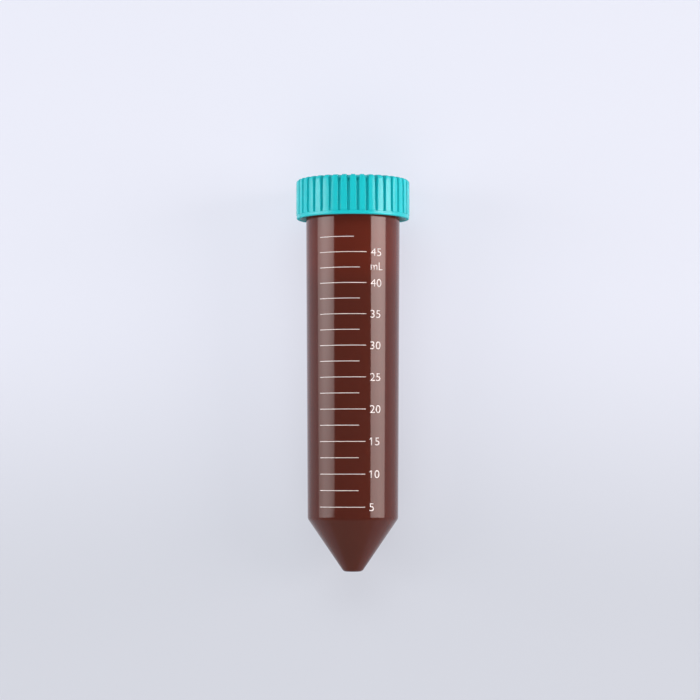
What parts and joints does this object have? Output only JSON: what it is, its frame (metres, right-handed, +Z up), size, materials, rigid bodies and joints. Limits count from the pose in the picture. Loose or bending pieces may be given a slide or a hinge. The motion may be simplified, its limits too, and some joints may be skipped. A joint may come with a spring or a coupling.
{
  "type": "conical tube",
  "caption": "Capped conical laboratory tube lying on its side: a round drafted shell with a conical end and an open mouth, closed by a screw cap with grip ribs.",
  "frame": {"origin": "centre of the bounding box at the surface that the lying tube rests on", "axes": "+Y along the tube towards its cap, +Z up through the printed side, +X to the right of the scale"},
  "size_m": [0.0346, 0.1194, 0.0348],
  "materials": {
    "tube_plastic": "glossy amber-brown translucent polypropylene",
    "cap_plastic": "satin turquoise polyethylene"
  },
  "bodies": {
    "tube": {"tube": "tube_plastic"},
    "cap": {"cap": "cap_plastic"}
  },
  "joints": [
    {"name": "cap_lift", "type": "slide", "parent": "tube", "child": "cap", "axis": [0, 0.9993, 0.0386], "range_m": [0, 0.03]}
  ]
}
